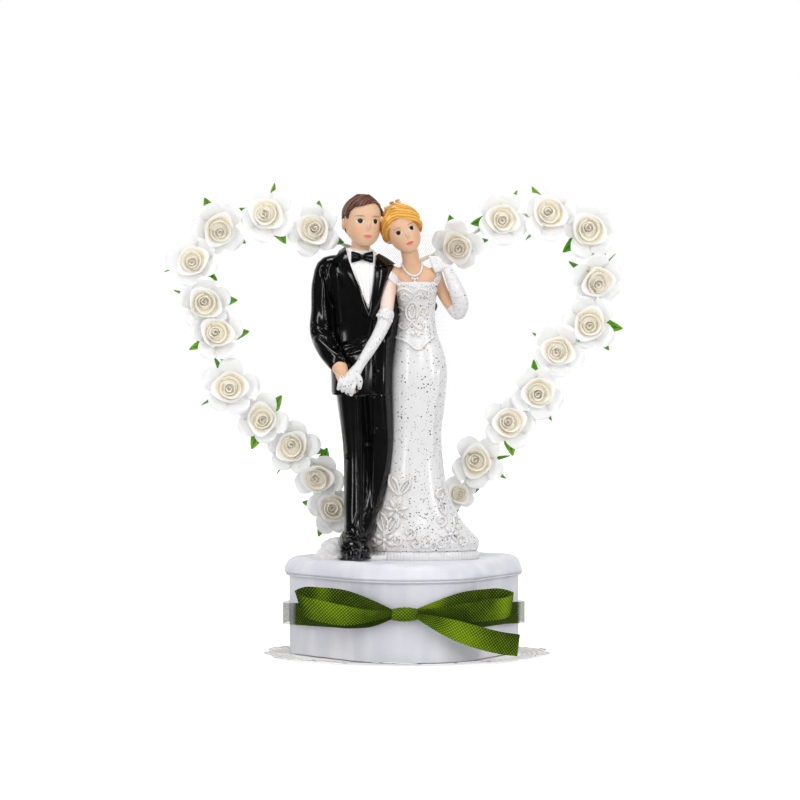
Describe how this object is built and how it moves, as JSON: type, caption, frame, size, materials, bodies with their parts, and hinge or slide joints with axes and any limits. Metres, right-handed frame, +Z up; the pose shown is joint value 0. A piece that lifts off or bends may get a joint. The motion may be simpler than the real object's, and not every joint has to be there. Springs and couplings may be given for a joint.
{
  "type": "wedding cake topper",
  "caption": "Heart-shaped satin box with a ribbon bow on a paper doily, carrying a cast bride and groom and, behind them, a wire heart arch of paper roses.",
  "frame": {"origin": "centre of the doily's underside, where the topper stands on the cake", "axes": "+Z up; -Y towards the front, where the blunt tip of the heart box points; +X to the right of someone who looks at the front"},
  "size_m": [0.1922, 0.119, 0.1968],
  "materials": {
    "doily_paper": "matte paper lace",
    "board": "matte",
    "foam": "matte rigid foam",
    "satin": "satin cloth",
    "ribbon": "woven ribbon with a soft sheen",
    "resin_white": "pearl paint with glitter flecks",
    "resin_black": "gloss paint",
    "resin_skin": "semi-gloss paint",
    "resin_brown": "semi-gloss paint",
    "resin_blonde": "semi-gloss paint",
    "resin_gold": "gold paint",
    "tulle": "sheer net",
    "petals": "matte paper",
    "wire": "paper-wrapped wire"
  },
  "bodies": {
    "root": {"doily": "doily_paper", "base_board": "board", "base_core": "foam", "base_wrap": "satin", "lid_board": "board", "lid_cover": "satin", "lid_piping": "satin", "ribbon_band": "ribbon", "bow_knot": "ribbon", "bow_loop_left": "ribbon", "bow_loop_right": "ribbon", "bow_tail_left": "ribbon", "bow_tail_right": "ribbon", "groom_shoe_right": "resin_black", "groom_shoe_left": "resin_black", "groom_trousers": "resin_black", "groom_jacket": "resin_black", "groom_bow_tie": "resin_black", "groom_shirt": "resin_white", "groom_head": "resin_skin", "groom_hand": "resin_skin", "groom_hair": "resin_brown", "figure_plinth": "resin_white", "bride_skirt": "resin_white", "bride_bodice": "resin_white", "bride_shoulders": "resin_skin", "bride_head": "resin_skin", "bride_hair": "resin_blonde", "hair_flowers": "resin_gold", "bride_upper_arm_right": "resin_skin", "bride_glove_right": "resin_white", "bride_upper_arm_left": "resin_skin", "bride_glove_left": "resin_white", "bride_necklace": "resin_white", "waist_flower": "resin_white", "veil": "tulle", "arch_wire": "wire", "rose_left_1": "petals", "rose_left_2": "petals", "rose_left_3": "petals", "rose_left_4": "petals", "rose_left_5": "petals", "rose_left_6": "petals", "rose_left_7": "petals", "rose_left_8": "petals", "rose_left_9": "petals", "rose_left_10": "petals", "rose_left_11": "petals", "rose_right_1": "petals", "rose_right_2": "petals", "rose_right_3": "petals", "rose_right_4": "petals", "rose_right_5": "petals", "rose_right_6": "petals", "rose_right_7": "petals", "rose_right_8": "petals", "rose_right_9": "petals", "rose_right_10": "petals", "rose_right_11": "petals"}
  },
  "joints": []
}
